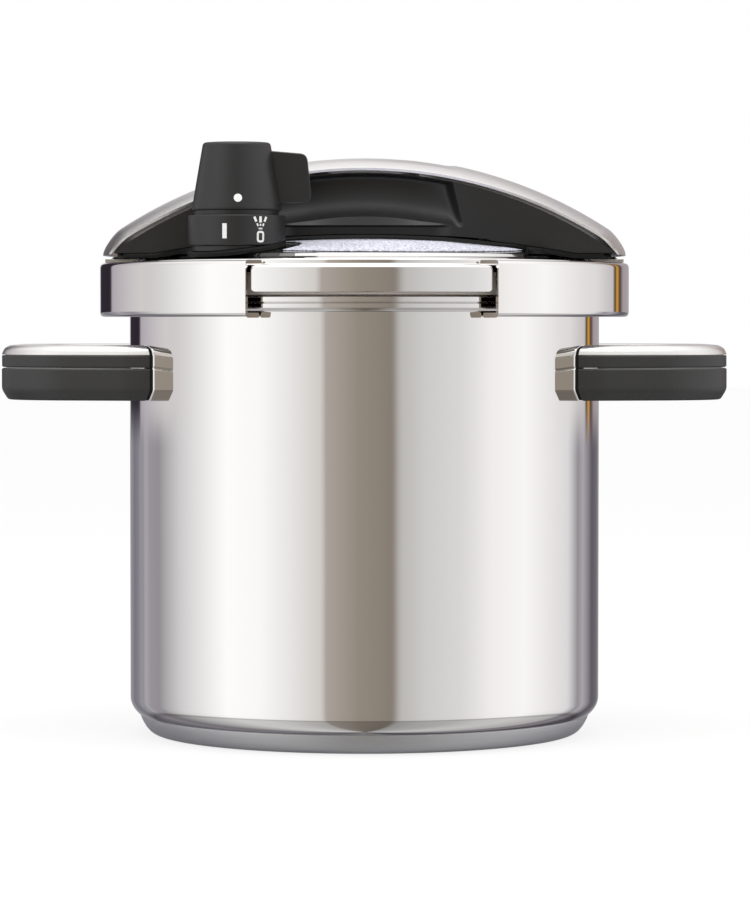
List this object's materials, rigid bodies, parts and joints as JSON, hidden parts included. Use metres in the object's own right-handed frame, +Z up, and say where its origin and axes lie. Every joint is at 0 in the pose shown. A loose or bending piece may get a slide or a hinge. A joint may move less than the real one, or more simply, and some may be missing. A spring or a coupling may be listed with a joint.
{
  "type": "stovetop pressure cooker",
  "caption": "Tall polished steel pressure cooker with side loop handles, a domed lid held by sliding rim jaws, a bridge grip with press button and a turning steam selector.",
  "frame": {"origin": "centre of the pot's flat underside", "axes": "+Z up along the pot's axis; +X to the right along the bridge and through the two handles; -Y towards the front, where the steam selector stands"},
  "size_m": [0.338, 0.2446, 0.2764],
  "materials": {
    "polished_steel": "mirror-polished stainless steel",
    "brushed_steel": "fine-brushed stainless steel",
    "base_steel": "satin turned stainless steel",
    "zinc_steel": "plain steel",
    "spring_steel": "drawn wire",
    "core_aluminium": "plain, sealed inside the base",
    "label_foil": "satin foil, blank",
    "black_plastic": "fine-textured phenolic or nylon",
    "pale_inlay": "matte",
    "nylon": "moulded",
    "silicone": "satin",
    "brass": "turned"
  },
  "bodies": {
    "pot": {"pot_body": "polished_steel", "base_core": "core_aluminium", "base_cap": "base_steel", "handle_lower_left": "black_plastic", "handle_upper_left": "black_plastic", "handle_trim_left": "brushed_steel", "handle_bracket_left_front": "brushed_steel", "handle_collar_left_front": "polished_steel", "handle_screw_left_front": "zinc_steel", "handle_bracket_left_rear": "brushed_steel", "handle_collar_left_rear": "polished_steel", "handle_screw_left_rear": "zinc_steel", "handle_lower_right": "black_plastic", "handle_upper_right": "black_plastic", "handle_trim_right": "brushed_steel", "handle_bracket_right_front": "brushed_steel", "handle_collar_right_front": "polished_steel", "handle_screw_right_front": "zinc_steel", "handle_bracket_right_rear": "brushed_steel", "handle_collar_right_rear": "polished_steel", "handle_screw_right_rear": "zinc_steel"},
    "lid": {"lid_shell": "polished_steel", "gasket": "silicone", "label_plate": "label_foil", "bridge_plate": "black_plastic", "bridge_cap": "brushed_steel", "bridge_body": "black_plastic", "dial_ring": "black_plastic", "valve_body": "brass", "valve_nut": "zinc_steel", "valve_spring": "spring_steel", "indicator_bush": "silicone", "safety_valve_body": "brass", "safety_valve_nut": "zinc_steel", "safety_spring": "spring_steel", "jaw_spring_left": "spring_steel", "bridge_screw_left_front": "zinc_steel", "bridge_screw_left_rear": "zinc_steel", "jaw_spring_right": "spring_steel", "bridge_screw_right_front": "zinc_steel", "bridge_screw_right_rear": "zinc_steel"},
    "button": {"release_button": "brushed_steel", "button_wedge": "brass"},
    "left_jaw": {"jaw_left": "polished_steel", "jaw_arm_left": "brushed_steel", "cam_shoe_left": "nylon", "jaw_rivet_left_front": "zinc_steel", "jaw_rivet_left_rear": "zinc_steel"},
    "right_jaw": {"jaw_right": "polished_steel", "jaw_arm_right": "brushed_steel", "cam_shoe_right": "nylon", "jaw_rivet_right_front": "zinc_steel", "jaw_rivet_right_rear": "zinc_steel"},
    "knob": {"selector_knob": "black_plastic", "knob_pointer": "pale_inlay"},
    "regulator": {"valve_piston": "zinc_steel"},
    "indicator": {"indicator_pin": "zinc_steel"},
    "safety": {"safety_plunger": "zinc_steel"}
  },
  "joints": [
    {"name": "lid_play", "type": "slide", "parent": "pot", "child": "lid", "axis": [0, 0, 1], "range_m": [0, 0.0015]},
    {"name": "button_press", "type": "slide", "parent": "lid", "child": "button", "axis": [0, 0, -1], "range_m": [0, 0.008], "stiffness_N_per_m": 400, "springref_m": -0.01},
    {"name": "left_jaw_slide", "type": "slide", "parent": "lid", "child": "left_jaw", "axis": [-1, 0, 0], "range_m": [0, 0.01], "deforming": ["jaw_spring_left"]},
    {"name": "right_jaw_slide", "type": "slide", "parent": "lid", "child": "right_jaw", "axis": [1, 0, 0], "range_m": [0, 0.01], "deforming": ["jaw_spring_right"]},
    {"name": "knob_turn", "type": "hinge", "parent": "lid", "child": "knob", "pos_m": [-0.0584, -0.0575, 0.25], "axis": [0, 0, 1], "range_deg": [-17, 26.7]},
    {"name": "regulator_lift", "type": "slide", "parent": "lid", "child": "regulator", "axis": [0, 0, 1], "range_m": [0, 0.002], "stiffness_N_per_m": 300, "springref_m": -0.004, "deforming": ["valve_spring"]},
    {"name": "indicator_rise", "type": "slide", "parent": "lid", "child": "indicator", "axis": [0, 0, 1], "range_m": [0, 0.005]},
    {"name": "safety_lift", "type": "slide", "parent": "lid", "child": "safety", "axis": [0, 0, 1], "range_m": [0, 0.0015], "stiffness_N_per_m": 400, "springref_m": -0.004, "deforming": ["safety_spring"]}
  ],
  "couplings": [
    {"joint": "left_jaw_slide", "follows": "button_press", "ratio": 1.25},
    {"joint": "right_jaw_slide", "follows": "button_press", "ratio": 1.25}
  ]
}
